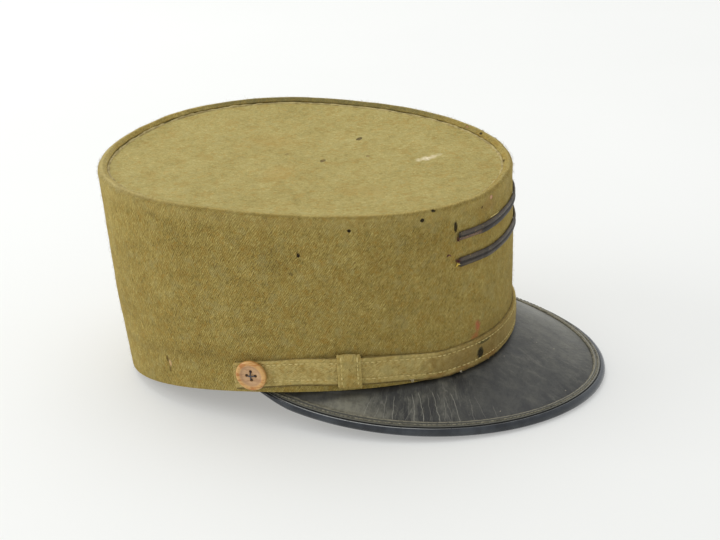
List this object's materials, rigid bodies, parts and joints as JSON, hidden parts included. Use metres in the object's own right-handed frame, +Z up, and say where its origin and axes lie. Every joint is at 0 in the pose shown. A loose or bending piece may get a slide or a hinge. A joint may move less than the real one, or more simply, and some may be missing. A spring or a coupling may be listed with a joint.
{
  "type": "kepi cap",
  "caption": "Kepi cap in khaki wool: hollow oval crown with a recessed flat top, black leather peak with rolled edging, buttoned chin strap and two rows of braid.",
  "frame": {"origin": "the middle of the floor that the cap covers, midway between the tip of the peak and the rear of the rim, on the surface where the cap rests", "axes": "+Z up, -Y to the front, where the peak points, +X to the wearer's left"},
  "size_m": [0.1814, 0.2622, 0.1137],
  "materials": {
    "wall_wool": "felted wool twill, worn",
    "top_wool": "smooth felted wool",
    "strap_wool": "wool cloth with stitched edges",
    "peak_leather": "scuffed black leather with fine cracks",
    "binding_leather": "smooth semi-gloss leather",
    "button_nut": "polished nut, lightly mottled",
    "braid_metal_thread": "tarnished metal-thread braid"
  },
  "bodies": {
    "root": {"crown_wall": "wall_wool", "crown_top": "top_wool", "peak": "peak_leather", "peak_binding": "binding_leather", "chin_strap": "strap_wool", "strap_loop_right": "strap_wool", "strap_loop_left": "strap_wool", "button_right": "button_nut", "button_left": "button_nut", "braid_upper": "braid_metal_thread", "braid_lower": "braid_metal_thread"}
  },
  "joints": []
}
